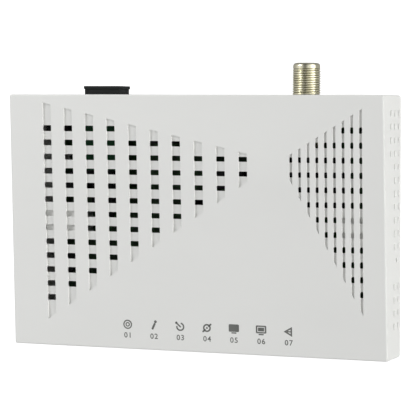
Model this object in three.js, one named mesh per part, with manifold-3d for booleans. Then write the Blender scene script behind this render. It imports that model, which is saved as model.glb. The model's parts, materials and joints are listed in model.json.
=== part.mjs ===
// Optical network terminal, lying flat. Millimetres, +X right, +Y to the ports, +Z up.
// The ground plane z = 0 is the underside of the rubber feet.
import * as THREE from 'three';
import { ConvexGeometry } from 'three/addons/geometries/ConvexGeometry.js';
import { mergeVertices } from 'three/addons/utils/BufferGeometryUtils.js';
import Module from 'manifold-3d';

const wasm = await Module();
wasm.setup();

// ---------------------------------------------------------------- driving dimensions
const caseWidth = 136.2;          // outline at the foot of the walls, at the ports
const caseDepth = 90.0;           // the rear wall is upright, so it ends a little short of this
const frontFlare = 0.6;           // each side wall stands this much further out at the indicators
const draft = Math.tan(THREE.MathUtils.degToRad(1.5));
const footHeight = 1.0;           // the case stands this far off the desk
const rearHeight = 24.0;          // wall height at the ports, above the case bottom
const frontHeight = 18.0;         // wall height at the indicators
const wall = 2.0;
const gap = 0.3;                  // clearance between neighbouring pieces
const trayInset = 0.3;            // the tray's edge stands this far inside the cover

const apex = { x: 31.5, back: 22.5, rise: 0.7 };   // where the four roof facets meet
const grooveDepth = 0.8;

const vents = {
  left: {
    firstX: -53.3, pitchX: 8, grooveWidth: 2.75, slotWidth: 2.6,
    rows: [[0, 12], [0, 11], [0, 10], [0, 9], [1, 8], [1, 7], [1, 6], [2, 5], [2, 4], [2, 3]],
  },
  right: {
    firstX: 35.6, pitchX: 3, grooveWidth: 0.85, slotWidth: 0.85,
    rows: [[2, 3], [2, 4], [2, 5], [1, 6], [1, 7], [1, 8], [0, 9], [0, 10], [0, 11]],
  },
};
const ventRow = { first: 11.9, pitch: 5, height: 1.65 };
const sideVent = {
  first: 6.7, pitch: 4.5, rows: 17, skipped: [11, 12], width: 1.9, height: 1.7,
  levels: [4.0, 9.2, 14.4], topLevelRows: 4,
};
const sensorHole = { row: 11, level: 6.4, radius: 0.8 };   // a lone round hole in the right wall

const panel = { thickness: 1.8, flange: 1.2 };
const board = { bottom: 6.0, thickness: 1.6, left: -57.5, right: 62.5, front: -39, rear: 39.5 };
const pillars = [
  { name: 'left', x: -49.3, width: 12 },
  { name: 'right', x: 56.6, width: 9 },
];
const pillarDepth = 9;
const pillarY = 0.4;
const pillarBore = 1.9;           // radius of the screw hole up each pillar
const feetAt = [[-58, 36], [58, 36], [-58, -36], [58, -36]];
const boardScrewsAt = [[-53.5, 22.5], [58.5, 31], [-53.5, -33], [58.5, -33]];
const keyholesX = [-30, 30];
const keyhole = { y: -4, entry: 9, slot: 4.8, length: 9 };
const floorVent = { x: 24, firstY: -16, pitch: 3.5, rows: 7, width: 30, height: 1.6 };
const boss = { radius: 3.2, bore: 1.6 };
const foot = { recess: 5.3, depth: 0.6, tread: 4.6, root: 5.0 };
const coverScrew = { headRadius: 2.8, headHeight: 1.0, shankRadius: 1.5, tipZ: 13 };
const boardScrew = { headRadius: 2.7, headHeight: 1.4, shankRadius: 1.2 };
const processor = { x: 12, y: -4, side: 19, height: 1.6 };
const indicators = { count: 7, firstX: -24.6, pitch: 9.77, fromFront: 8.5 };

const port = {
  optical: { x: -35.0, z: 13.6, width: 12.2, height: 9.4 },
  cap: { width: 13.7, height: 10.4, reach: 4.2, lip: 1.0, inset: 0.35, plugDepth: 9 },
  lan: { x: 8, width: 16, height: 13.2, depth: 19.5 },
  power: { x: -51.5, width: 9, height: 11, depth: 14 },
  button: { x: -13, z: 12.6, reach: 1.2, travel: 2.0, switchSetback: 4.5 },
  reset: { x: 21, z: 10.6, switchSetback: 3.4 },
  coax: { x: 38.1, z: 14.1, radius: 4.75, tip: 55.2, bore: 2.9 },
};
const jackProud = 0.4;            // the metal and plastic jack fronts stand this far out of the panel
const shieldSkin = 0.35;

// ---------------------------------------------------------------- derived planes
const caseBottom = footHeight;
const roofRearZ = caseBottom + rearHeight;
const roofFrontZ = caseBottom + frontHeight;
const roofRearY = caseDepth / 2 - draft * rearHeight;
const roofFrontY = -caseDepth / 2 + draft * frontHeight;
const sideX = (y, z) =>
  caseWidth / 2 - draft * (z - caseBottom) + frontFlare * (0.5 - y / caseDepth);
const roofRearX = sideX(roofRearY, roofRearZ);
const roofFrontX = sideX(roofFrontY, roofFrontZ);
const slope = Math.atan2(roofRearZ - roofFrontZ, roofRearY - roofFrontY);
const roofLength = Math.hypot(roofRearZ - roofFrontZ, roofRearY - roofFrontY);
const boardTop = board.bottom + board.thickness;
const panelOuterY = roofRearY - panel.flange - gap;
const panelInnerY = panelOuterY - panel.thickness;
const floorTop = caseBottom + wall;
const coverFoot = caseBottom + 1.7;

// ---------------------------------------------------------------- materials
const finish = (color, roughness, metalness = 0) =>
  () => new THREE.MeshStandardMaterial({ color, roughness, metalness });
const whitePlastic = finish(0xf0f0ec, 0.42);
const panelPlastic = finish(0xe6e7e3, 0.45);
const greyRubber = finish(0x8a8d8c, 0.8);
const blackRubber = finish(0x232626, 0.7);
const blackPlastic = finish(0x1b1c1d, 0.5);
const steel = finish(0xb9bbbc, 0.35, 1);
const nickel = finish(0xc8c2b2, 0.25, 1);
const gold = finish(0xd7b25a, 0.3, 1);
const laminate = finish(0x1f6b3c, 0.5);
const blackenedMetal = finish(0x26282a, 0.5, 1);
const acrylic = finish(0xe8eef0, 0.15);
const greenPlastic = finish(0x2f8f4e, 0.45);
const ceramic = finish(0xf3efe4, 0.3);
const ledEmitter = finish(0xf1edc8, 0.3);

// ---------------------------------------------------------------- solid helpers
function solid(geometry) {
  geometry.deleteAttribute('normal');
  geometry.deleteAttribute('uv');
  const merged = mergeVertices(geometry, 1e-4);
  const vertProperties = new Float32Array(merged.attributes.position.array);
  const triVerts = new Uint32Array(merged.index.array);
  return new wasm.Manifold(new wasm.Mesh({ numProp: 3, vertProperties, triVerts }));
}

function geometryOf(manifold) {
  const mesh = manifold.getMesh();
  const geometry = new THREE.BufferGeometry();
  geometry.setAttribute('position', new THREE.BufferAttribute(new Float32Array(mesh.vertProperties), 3));
  geometry.setIndex(new THREE.BufferAttribute(new Uint32Array(mesh.triVerts), 1));
  geometry.computeVertexNormals();
  return geometry;
}

const join = (parts) => parts.reduce((whole, part) => whole.add(part));
const cut = (body, tools) => body.subtract(join(tools));

function block(x0, x1, y0, y1, z0, z1) {
  const geometry = new THREE.BoxGeometry(x1 - x0, y1 - y0, z1 - z0);
  geometry.translate((x0 + x1) / 2, (y0 + y1) / 2, (z0 + z1) / 2);
  return solid(geometry);
}

const blockAt = (x, y, z0, width, depth, height) =>
  block(x - width / 2, x + width / 2, y - depth / 2, y + depth / 2, z0, z0 + height);

function postZ(x, y, z0, z1, radius, sides = 20, topRadius = radius) {
  const geometry = new THREE.CylinderGeometry(topRadius, radius, z1 - z0, sides);
  geometry.rotateX(Math.PI / 2);
  geometry.translate(x, y, (z0 + z1) / 2);
  return solid(geometry);
}

function rodY(x, z, y0, y1, radius, sides = 20, rearRadius = radius) {
  const geometry = new THREE.CylinderGeometry(rearRadius, radius, y1 - y0, sides);
  geometry.translate(x, (y0 + y1) / 2, z);
  return solid(geometry);
}

function plate(points, z0, z1) {
  const shape = new THREE.Shape(points.map(([x, y]) => new THREE.Vector2(x, y)));
  const geometry = new THREE.ExtrudeGeometry(shape, { depth: z1 - z0, bevelEnabled: false });
  geometry.translate(0, 0, z0);
  return solid(geometry);
}

const hullOf = (points) => solid(new ConvexGeometry(points.map((p) => new THREE.Vector3(...p))));

// A piece drawn on the roof: x right, y back along the slope, z out of the face.
const roofMatrix = new THREE.Matrix4()
  .makeTranslation(0, roofRearY, roofRearZ)
  .multiply(new THREE.Matrix4().makeRotationX(slope));

function onRoof(x0, x1, y0, y1, z0, z1) {
  const geometry = new THREE.BoxGeometry(x1 - x0, y1 - y0, z1 - z0);
  geometry.translate((x0 + x1) / 2, (y0 + y1) / 2, (z0 + z1) / 2);
  geometry.applyMatrix4(roofMatrix);
  return solid(geometry);
}

const roofPoint = (x, back, out) => new THREE.Vector3(x, -back, out).applyMatrix4(roofMatrix).toArray();

// The case as a solid block: inset shrinks it inside the walls, drop lowers the roof.
function caseBlock(bottom, inset, drop, rearY) {
  const footY = -caseDepth / 2 - draft * (caseBottom - bottom);
  const rear = rearY ?? roofRearY - inset;
  const corners = [
    [footY, footY + inset, bottom, bottom],
    [roofRearY, rear, bottom, bottom],
    [roofFrontY, roofFrontY + inset, roofFrontZ, roofFrontZ - drop],
    [roofRearY, rear, roofRearZ, roofRearZ - drop],
  ].flatMap(([wallY, y, wallZ, z]) => [-1, 1].map((side) => [side * (sideX(wallY, wallZ) - inset), y, z]));
  return hullOf([...corners, roofPoint(apex.x, apex.back, apex.rise - drop)]);
}

// ---------------------------------------------------------------- case
function roofGrooves() {
  const overRoof = 5;
  const [tipX, tipY] = roofPoint(apex.x, apex.back, 0);
  const facet = (side) => plate(
    [[tipX, tipY], [side * roofRearX, roofRearY], [side * roofFrontX, roofFrontY]],
    roofFrontZ - overRoof, roofRearZ + overRoof);
  const strips = [[vents.left, -1], [vents.right, 1]].map(([array, side]) => {
    const bars = array.rows.map((_, column) => {
      const x = array.firstX + column * array.pitchX;
      const half = array.grooveWidth / 2;
      return onRoof(x - half, x + half, -roofLength, 0, -overRoof, overRoof);
    });
    return join(bars).intersect(facet(side));
  });
  return join(strips).subtract(caseBlock(0, -1, grooveDepth));
}

function roofSlots() {
  const below = 6;
  return [vents.left, vents.right].flatMap((array) => array.rows.flatMap(([from, to], column) => {
    const x = array.firstX + column * array.pitchX;
    const half = array.slotWidth / 2;
    return Array.from({ length: to - from + 1 }, (_, i) => {
      const back = ventRow.first + (from + i) * ventRow.pitch;
      const halfHeight = ventRow.height / 2;
      return onRoof(x - half, x + half, -back - halfHeight, -back + halfHeight, -below, below);
    });
  }));
}

function sideSlots() {
  const tools = [];
  const reach = caseWidth / 2 + 1;
  const inner = caseWidth / 2 - wall - 2;
  for (let row = 0; row < sideVent.rows; row += 1) {
    if (sideVent.skipped.includes(row)) continue;
    const y = caseDepth / 2 - sideVent.first - row * sideVent.pitch;
    sideVent.levels.forEach((level, index) => {
      if (index === sideVent.levels.length - 1 && row >= sideVent.topLevelRows) return;
      const z = caseBottom + level;
      for (const side of [-1, 1]) {
        const [x0, x1] = side < 0 ? [-reach, -inner] : [inner, reach];
        tools.push(block(x0, x1, y - sideVent.width / 2, y + sideVent.width / 2,
          z - sideVent.height / 2, z + sideVent.height / 2));
      }
    });
  }
  const holeY = caseDepth / 2 - sideVent.first - sensorHole.row * sideVent.pitch;
  const hole = new THREE.CylinderGeometry(sensorHole.radius, sensorHole.radius, 2 * wall + 2, 12);
  hole.rotateZ(Math.PI / 2);
  hole.translate(caseWidth / 2 - wall, holeY, caseBottom + sensorHole.level);
  return [...tools, solid(hole)];
}

function topCover() {
  const cavityRear = roofRearY - panel.flange;
  const shell = caseBlock(coverFoot, 0, 0).subtract(caseBlock(coverFoot - 1, wall, wall, cavityRear));
  const rim = 3.4;
  const window = block(-roofRearX + rim, roofRearX - rim, cavityRear - 0.5, caseDepth / 2 + 1,
    0, roofRearZ - rim);
  const open = cut(shell, [window, roofGrooves(), ...roofSlots(), ...sideSlots()]);

  const underRoof = caseBlock(0, 1, wall - 0.2);
  const posts = pillars.map(({ x, width }) =>
    blockAt(x, pillarY, floorTop + gap, width, pillarDepth, 22).intersect(underRoof));
  const ribs = [-1, 1].map((side) => {
    const inner = side * (roofRearX - 4);
    const outer = side * (roofRearX - 1);
    return block(Math.min(inner, outer), Math.max(inner, outer),
      panelInnerY - gap - 1.5, panelInnerY - gap, floorTop + gap, roofRearZ - wall - 0.5);
  });
  const bores = pillars.map(({ x }) => postZ(x, pillarY, 0, coverScrew.tipZ + 2, pillarBore, 14));
  return cut(join([open, ...posts, ...ribs]), bores);
}

function baseTray() {
  const flangeTop = coverFoot - gap;
  const outline = caseBlock(caseBottom, trayInset, 0)
    .intersect(block(-caseWidth, caseWidth, -caseDepth, caseDepth, caseBottom, flangeTop));
  const halfX = caseWidth / 2 - wall - gap - 0.2;
  const halfY = caseDepth / 2 - wall - gap - 0.2;
  const raised = block(-halfX, halfX, -halfY, halfY, caseBottom, floorTop);
  const bosses = boardScrewsAt.map(([x, y]) =>
    postZ(x, y, floorTop - 0.5, board.bottom - gap, boss.radius, 16));

  const through = 10;
  const tools = [block(-halfX - 1, halfX + 1, panelInnerY - gap, halfY + 1, floorTop - 1, floorTop + 1)];
  boardScrewsAt.forEach(([x, y]) => tools.push(postZ(x, y, caseBottom + 1, through, boss.bore, 12)));
  feetAt.forEach(([x, y]) => tools.push(postZ(x, y, 0, caseBottom + foot.depth, foot.recess, 20)));
  pillars.forEach(({ x }) => {
    const seatRadius = coverScrew.headRadius + 0.4;
    tools.push(postZ(x, pillarY, 0, through, pillarBore, 14));
    tools.push(postZ(x, pillarY, 0, caseBottom + 1.1, seatRadius, 16));
  });
  keyholesX.forEach((x) => {
    tools.push(postZ(x, keyhole.y, 0, through, keyhole.entry / 2, 20));
    tools.push(blockAt(x, keyhole.y + keyhole.length / 2, 0, keyhole.slot, keyhole.length, through));
  });
  for (let row = 0; row < floorVent.rows; row += 1) {
    const y = floorVent.firstY - row * floorVent.pitch;
    [-1, 1].forEach((side) =>
      tools.push(blockAt(side * floorVent.x, y, 0, floorVent.width, floorVent.height, through)));
  }
  return cut(join([outline, raised, ...bosses]), tools);
}

function rearPanel() {
  const bottom = floorTop - 1 + gap;
  const roofUnder = roofRearZ - Math.tan(slope) * (roofRearY - panelInnerY) - wall;
  const top = roofUnder - gap;
  const halfAt = (z) => sideX(panelOuterY, z) - wall - gap - 0.1;
  const right = [[halfAt(bottom), bottom], [halfAt(top), top]];
  const left = right.map(([x, z]) => [-x, z]).reverse();
  const shape = new THREE.Shape([...right, ...left].map(([x, z]) => new THREE.Vector2(x, z)));
  const geometry = new THREE.ExtrudeGeometry(shape, { depth: panel.thickness, bevelEnabled: false });
  geometry.rotateX(Math.PI / 2);
  geometry.translate(0, panelOuterY, 0);
  const sheet = solid(geometry);

  const { optical, lan, power, button, reset, coax } = port;
  const y0 = panelInnerY - 1;
  const y1 = panelOuterY + 1;
  const around = (x, bottomZ, width, height) => {
    const half = width / 2 + gap;
    return block(x - half, x + half, y0, y1, bottomZ - gap, bottomZ + height + gap);
  };
  return cut(sheet, [
    around(optical.x, optical.z - optical.height / 2, optical.width, optical.height),
    around(lan.x, boardTop + gap, lan.width, lan.height),
    around(power.x, boardTop + gap, power.width, power.height),
    around(button.x, button.z - 3, 8, 6),
    rodY(reset.x, reset.z, y0, y1, 1.1, 12),
    rodY(coax.x, coax.z, y0, y1, coax.radius + gap, 24),
  ]);
}

function rubberFoot([x, y]) {
  return postZ(x, y, 0, caseBottom + gap, foot.tread, 20, foot.root);
}

// A pan-head screw: its face lies at faceZ, its shank ends at tipZ, above or below the face.
function panHeadScrew(x, y, faceZ, tipZ, { headRadius, headHeight, shankRadius }) {
  const span = (z0, z1, radius, sides) => postZ(x, y, Math.min(z0, z1), Math.max(z0, z1), radius, sides);
  const inward = Math.sign(tipZ - faceZ);
  const head = span(faceZ, faceZ + inward * headHeight, headRadius, 16);
  const shank = span(faceZ, tipZ, shankRadius, 10);
  const recessDepth = 0.6;
  const recessFloor = faceZ + inward * recessDepth;
  const recess = [[2.6, 0.7], [0.7, 2.6]].map(([width, depth]) =>
    blockAt(x, y, Math.min(recessFloor, faceZ - inward * 0.3), width, depth, recessDepth + 0.3));
  return cut(head.add(shank), recess);
}

// ---------------------------------------------------------------- board and its parts
function mainBoard() {
  const { left: boardLeft, right: boardRight, front, rear, bottom } = board;
  const margin = 2 * gap;
  const notchY0 = pillarY - pillarDepth / 2 - margin;
  const notchY1 = pillarY + pillarDepth / 2 + margin;
  const [left, right] = pillars;
  const leftNotch = left.x + left.width / 2 + margin;
  const rightNotch = right.x - right.width / 2 - margin;
  const slab = plate([
    [boardLeft, front], [boardRight, front], [boardRight, notchY0], [rightNotch, notchY0],
    [rightNotch, notchY1], [boardRight, notchY1], [boardRight, rear], [boardLeft, rear],
    [boardLeft, notchY1], [leftNotch, notchY1], [leftNotch, notchY0], [boardLeft, notchY0],
  ], bottom, boardTop);
  const screwHole = boardScrew.shankRadius + 0.5;
  return cut(slab, boardScrewsAt.map(([x, y]) => postZ(x, y, bottom - 1, boardTop + 1, screwHole, 12)));
}

function opticalHousing() {
  const { x, z, width, height } = port.optical;
  const body = block(x - width / 2, x + width / 2, 18, panelOuterY, z - height / 2, z + height / 2);
  const feet = block(x - 5, x + 5, 21, 33, boardTop + gap, z - 4);
  const socket = block(x - 4.6, x + 4.6, 26, panelOuterY + 1, z - 3.75, z + 3.75);
  const ferruleWay = rodY(x, z, 17, 30, 2.3, 16);
  return cut(body.add(feet), [socket, ferruleWay]);
}

function ferruleSleeve() {
  const { x, z } = port.optical;
  return cut(rodY(x, z, 19, 32, 1.9, 16), [rodY(x, z, 18, 33, 1.25, 16)]);
}

function dustCap() {
  const { x, z } = port.optical;
  const { width, height, reach, lip, inset, plugDepth } = port.cap;
  const face = panelOuterY + gap;
  const halfX = width / 2;
  const halfZ = height / 2;
  const body = block(x - halfX + inset, x + halfX - inset, face, face + reach - 0.5,
    z - halfZ + inset, z + halfZ - inset);
  const rim = block(x - halfX, x + halfX, face + reach - lip, face + reach, z - halfZ, z + halfZ);
  const plug = block(x - 4.2, x + 4.2, face - plugDepth, face + 1, z - 3.4, z + 3.4);
  return join([body, rim, plug]);
}

function opticalModule() {
  const { x, z } = port.optical;
  const barrel = block(x - 4, x + 4, 6, 17.6, z - 4, z + 4);
  const laserCan = rodY(x, z, 1, 6.5, 2.8, 18);
  const receiverCan = blockAt(x + 5.5, 12, z - 2.6, 4, 5.2, 5.2);
  const seat = block(x - 3, x + 3, 8, 15, boardTop + gap, z - 3.5);
  return join([barrel, laserCan, receiverCan, seat]);
}

function coaxBody() {
  const { x, z, radius, tip, bore } = port.coax;
  const base = block(x - 6, x + 6, 27, panelInnerY - gap, boardTop + gap, z + 6);
  const threadStart = panelInnerY - gap - 0.5;
  const ridge = 1.2;
  const depth = 0.35;
  const profile = [new THREE.Vector2(0, threadStart), new THREE.Vector2(radius - depth, threadStart)];
  const noseStart = tip - 1.3;
  for (let y = panelOuterY + 1.2; y < noseStart - ridge; y += ridge * 2) {
    profile.push(new THREE.Vector2(radius - depth, y), new THREE.Vector2(radius, y + ridge * 0.5),
      new THREE.Vector2(radius, y + ridge), new THREE.Vector2(radius - depth, y + ridge * 1.5));
  }
  profile.push(new THREE.Vector2(radius - depth, noseStart), new THREE.Vector2(radius - 0.6, tip - 0.4),
    new THREE.Vector2(radius - 1.0, tip), new THREE.Vector2(0, tip));
  const barrelGeometry = new THREE.LatheGeometry(profile, 24);
  barrelGeometry.translate(x, 0, z);
  return cut(base.add(solid(barrelGeometry)), [rodY(x, z, 30, tip + 1, bore, 20)]);
}

function coaxInsulator() {
  const { x, z, tip, bore } = port.coax;
  return cut(rodY(x, z, 31, tip - 0.7, bore - gap, 20), [rodY(x, z, 32, tip + 1, 1.1, 12)]);
}

function coaxContact() {
  const { x, z, tip } = port.coax;
  return cut(rodY(x, z, 32.3, tip - 1.2, 0.8, 12), [rodY(x, z, 44, tip, 0.45, 8)]);
}

function lanShield() {
  const { x, width, height, depth } = port.lan;
  const bottom = boardTop + gap;
  const rear = panelOuterY + jackProud;
  const inner = width / 2 - shieldSkin;
  return cut(block(x - width / 2, x + width / 2, rear - depth, rear, bottom, bottom + height),
    [block(x - inner, x + inner, rear - depth + shieldSkin, rear + 1,
      bottom + shieldSkin, bottom + height - shieldSkin)]);
}

const lanSocket = { halfWidth: 5.95, bottom: 3.0, height: 8.2, depth: 13 };
const lanMouthY = panelOuterY + jackProud / 2;

function lanInsert() {
  const { x, width, height, depth } = port.lan;
  const bottom = boardTop + gap;
  const inset = shieldSkin + gap;
  const body = block(x - width / 2 + inset, x + width / 2 - inset, lanMouthY - depth + 1, lanMouthY,
    bottom + inset, bottom + height - inset);
  const socketBottom = bottom + lanSocket.bottom;
  return cut(body, [
    block(x - lanSocket.halfWidth, x + lanSocket.halfWidth, lanMouthY - lanSocket.depth, lanMouthY + 1,
      socketBottom, socketBottom + lanSocket.height),
    block(x - 3.2, x + 3.2, lanMouthY - 9, lanMouthY + 1, socketBottom - 1.2, socketBottom + 1),
    block(x - 2.1, x + 2.1, lanMouthY - 9, lanMouthY + 1, socketBottom - 2.1, socketBottom + 1),
  ]);
}

function lanContacts() {
  const { x } = port.lan;
  const ceiling = boardTop + gap + lanSocket.bottom + lanSocket.height;
  const carrierY = lanMouthY - 3.4;
  const pieces = [block(x - 4.4, x + 4.4, carrierY, carrierY + 1, ceiling - gap - 0.7, ceiling - gap)];
  const wire = { width: 0.5, pitch: 1.02, run: 8.4, drop: 2.2 };
  const tilt = Math.atan2(wire.drop, wire.run);
  const wires = 8;
  for (let i = 0; i < wires; i += 1) {
    const geometry = new THREE.BoxGeometry(wire.width, Math.hypot(wire.run, wire.drop), 0.4);
    geometry.rotateX(tilt);
    geometry.translate(x + (i - (wires - 1) / 2) * wire.pitch, carrierY + 0.5 - wire.run / 2,
      ceiling - gap - 0.35 - wire.drop / 2);
    pieces.push(solid(geometry));
  }
  return join(pieces);
}

const powerAxisZ = boardTop + gap + port.power.height / 2 + 0.4;

function powerJackBody() {
  const { x, width, height, depth } = port.power;
  const bottom = boardTop + gap;
  const rear = panelOuterY + jackProud;
  return cut(block(x - width / 2, x + width / 2, rear - depth, rear, bottom, bottom + height),
    [rodY(x, powerAxisZ, rear - 10, rear + 1, 3.2, 20)]);
}

function powerJackPin() {
  return rodY(port.power.x, powerAxisZ, panelOuterY - 9.3, panelOuterY - 1.2, 1.0, 12);
}

function powerSwitchBody() {
  const { x, z, travel, switchSetback } = port.button;
  const rear = panelInnerY - switchSetback;
  const body = block(x - 4.25, x + 4.25, rear - 9, rear, boardTop + gap, z + 3.4);
  return cut(body, [block(x - 1.8, x + 1.8, rear - 2 - travel - gap, rear + 1, z - 1.8, z + 1.8)]);
}

function powerButton() {
  const { x, z, reach, switchSetback } = port.button;
  const switchFace = panelInnerY - switchSetback;
  const cap = block(x - 4, x + 4, panelInnerY - 1, panelOuterY + reach, z - 3, z + 3);
  const stem = block(x - 1.5, x + 1.5, switchFace - 1.7, panelInnerY, z - 1.5, z + 1.5);
  return cap.add(stem);
}

function resetSwitchBody() {
  const { x, z, switchSetback } = port.reset;
  const rear = panelInnerY - switchSetback;
  return cut(block(x - 3, x + 3, rear - 3.6, rear, boardTop + gap, z + 2.2),
    [rodY(x, z, rear - 1.8, rear + 1, 1.9, 14)]);
}

function resetPlunger() {
  const { x, z, switchSetback } = port.reset;
  const switchFace = panelInnerY - switchSetback;
  return rodY(x, z, switchFace - 1.0, panelInnerY - 1.6, 1.55, 14);
}

const indicatorX = (i) => indicators.firstX + i * indicators.pitch;
const indicatorY = roofPoint(0, roofLength - indicators.fromFront, 0)[1];

function lightGuide() {
  const bottom = boardTop + 1.6;
  const barTop = bottom + 2.2;
  const roofUnder = roofPoint(0, roofLength - indicators.fromFront, -wall - gap - 0.2)[2];
  const overhang = 3;
  const legWidth = 1.6;
  const barStart = indicators.firstX - overhang;
  const barEnd = indicatorX(indicators.count - 1) + overhang;
  const bar = block(barStart, barEnd, indicatorY - 1.3, indicatorY + 1.3, bottom, barTop);
  const legs = [barStart + legWidth / 2, barEnd - legWidth / 2].map((x) =>
    blockAt(x, indicatorY, boardTop + gap, legWidth, 2.6, 2));
  const stubs = Array.from({ length: indicators.count }, (_, i) =>
    blockAt(indicatorX(i), indicatorY, barTop - 0.5, 3.2, 2.4, roofUnder - barTop + 0.5));
  return join([bar, ...legs, ...stubs]);
}

const padThickness = 0.4;

function heatSink() {
  const { x, y } = processor;
  const half = 14;
  const bottom = boardTop + processor.height + padThickness + 3 * gap;
  const base = block(x - half, x + half, y - half, y + half, bottom, bottom + 1.6);
  const finCount = 7;
  const edge = 1.0;
  const fins = Array.from({ length: finCount }, (_, i) => {
    const finX = x - half + edge + (i * 2 * (half - edge)) / (finCount - 1);
    return block(finX - 0.6, finX + 0.6, y - half, y + half, bottom + 1, bottom + 7);
  });
  return join([base, ...fins]);
}

function shieldCan() {
  const bottom = boardTop + gap;
  const [x0, x1, y0, y1, height, skin] = [28, 50, 6, 24.5, 4.5, 0.3];
  return cut(block(x0, x1, y0, y1, bottom, bottom + height),
    [block(x0 + skin, x1 - skin, y0 + skin, y1 - skin, bottom - 1, bottom + height - skin)]);
}

function electrolytic(x, y) {
  const bottom = boardTop + gap;
  return join([postZ(x, y, bottom, bottom + 8, 4, 18), blockAt(x, y, bottom, 8.4, 8.4, 0.9)]);
}

function powerInductor(x, y) {
  const bottom = boardTop + gap;
  return cut(blockAt(x, y, bottom, 10, 10, 4.2), [postZ(x, y, bottom + 3.4, bottom + 5, 3.4, 18)]);
}

// ---------------------------------------------------------------- assembly
const group = new THREE.Group();
const assembly = new THREE.Group();
const frontReach = caseDepth / 2 - draft * (coverFoot - caseBottom);
assembly.position.y = (frontReach - port.coax.tip) / 2;   // centres the whole length on the origin
group.add(assembly);

function add(name, manifold, material) {
  const mesh = new THREE.Mesh(geometryOf(manifold), material());
  mesh.name = name;
  assembly.add(mesh);
}

const onBoard = (x, y, width, depth, height) => blockAt(x, y, boardTop + gap, width, depth, height);

add('top_cover', topCover(), whitePlastic);
add('base_tray', baseTray(), whitePlastic);
add('rear_panel', rearPanel(), panelPlastic);
pillars.forEach(({ name, x }) => add(`cover_screw_${name}`,
  panHeadScrew(x, pillarY, caseBottom - 0.2, coverScrew.tipZ, coverScrew), steel));
feetAt.forEach((at, i) => add(`rubber_foot_${i + 1}`, rubberFoot(at), greyRubber));

add('main_board', mainBoard(), laminate);
boardScrewsAt.forEach(([x, y], i) => add(`board_screw_${i + 1}`,
  panHeadScrew(x, y, boardTop + gap + boardScrew.headHeight, caseBottom + 1.4, boardScrew), steel));

add('optical_port_housing', opticalHousing(), greenPlastic);
add('ferrule_sleeve', ferruleSleeve(), ceramic);
add('dust_cap', dustCap(), blackRubber);
add('optical_module', opticalModule(), blackenedMetal);
add('coax_connector_body', coaxBody(), nickel);
add('coax_insulator', coaxInsulator(), ceramic);
add('coax_centre_contact', coaxContact(), gold);
add('rf_shield_can', shieldCan(), blackenedMetal);
add('lan_jack_shield', lanShield(), steel);
add('lan_jack_insert', lanInsert(), blackPlastic);
add('lan_jack_contacts', lanContacts(), gold);
add('lan_transformer', onBoard(port.lan.x, 16.5, 15, 9, 5.5), blackPlastic);
add('power_jack_body', powerJackBody(), blackPlastic);
add('power_jack_pin', powerJackPin(), nickel);
add('power_switch_body', powerSwitchBody(), blackPlastic);
add('power_button', powerButton(), blackPlastic);
add('reset_switch_body', resetSwitchBody(), blackPlastic);
add('reset_plunger', resetPlunger(), blackPlastic);
add('light_guide', lightGuide(), acrylic);
for (let i = 0; i < indicators.count; i += 1) {
  add(`status_led_${i + 1}`, onBoard(indicatorX(i), indicatorY, 1.6, 1.2, 0.8), ledEmitter);
}
add('processor', onBoard(processor.x, processor.y, processor.side, processor.side, processor.height),
  blackPlastic);
const padBottom = boardTop + processor.height + 2 * gap;
add('thermal_pad', blockAt(processor.x, processor.y, padBottom, 18, 18, padThickness), greyRubber);
add('heat_sink', heatSink(), blackenedMetal);
add('memory_chip', onBoard(36, -12, 8, 12, 1.1), blackPlastic);
add('capacitor_1', electrolytic(-47, 13), blackenedMetal);
add('capacitor_2', electrolytic(-50, -15), blackenedMetal);
add('power_inductor', powerInductor(-20, -14), blackPlastic);
add('crystal', onBoard(31, -24, 10.5, 4, 3.4), steel);

export default group;
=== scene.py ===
"""Looks of the optical network terminal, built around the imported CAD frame.

Shapes are drawn in millimetres in the case's own frame: x to the right, y from the indicator edge to
the ports, z up, origin under the middle of the case. place_piece() moves them to the row frame, in metres.
"""

import json
import math

import bmesh
import bpy
from mathutils import Matrix, Vector


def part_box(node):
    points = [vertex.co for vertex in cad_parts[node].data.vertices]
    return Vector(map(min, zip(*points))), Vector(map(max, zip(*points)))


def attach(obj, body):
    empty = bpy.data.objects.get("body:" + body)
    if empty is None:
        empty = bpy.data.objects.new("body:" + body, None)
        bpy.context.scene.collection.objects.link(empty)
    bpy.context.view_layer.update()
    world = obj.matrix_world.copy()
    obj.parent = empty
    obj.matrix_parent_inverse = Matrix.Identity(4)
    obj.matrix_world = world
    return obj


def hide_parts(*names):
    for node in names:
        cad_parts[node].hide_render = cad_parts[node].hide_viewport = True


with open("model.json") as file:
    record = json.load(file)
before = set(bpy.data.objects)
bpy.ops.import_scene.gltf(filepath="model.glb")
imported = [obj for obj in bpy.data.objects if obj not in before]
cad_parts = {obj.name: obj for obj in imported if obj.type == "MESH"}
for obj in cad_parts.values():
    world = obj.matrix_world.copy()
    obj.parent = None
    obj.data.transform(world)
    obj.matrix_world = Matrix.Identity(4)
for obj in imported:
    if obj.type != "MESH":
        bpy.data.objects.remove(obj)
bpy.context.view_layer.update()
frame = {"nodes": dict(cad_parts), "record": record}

MM = 0.001


def box_mm(node):
    """Lowest and highest corner of a CAD node, in millimetres, still in the row frame."""
    low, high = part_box(node)
    return low / MM, high / MM


# ------------------------------------------------------------------ driving dimensions, millimetres
WALL = 2.0
GAP = 0.3
DRAFT = math.tan(math.radians(1.5))
FRONT_FLARE = 0.6                                 # each side wall stands this much further out at the signs
TRAY_INSET = 0.3
APEX_X, APEX_BACK, APEX_RISE = 31.5, 22.5, 0.7     # where the four roof facets meet
GROOVE_DEPTH = 0.8
FRONT_MARGIN = 0.5                                # the channels end this far short of the front creases
FRONT_DROP = 6.0                                  # the roof falls this far from the ports to the signs

cover_low, cover_high = box_mm("top_cover")
tray_low, tray_high = box_mm("base_tray")

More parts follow.
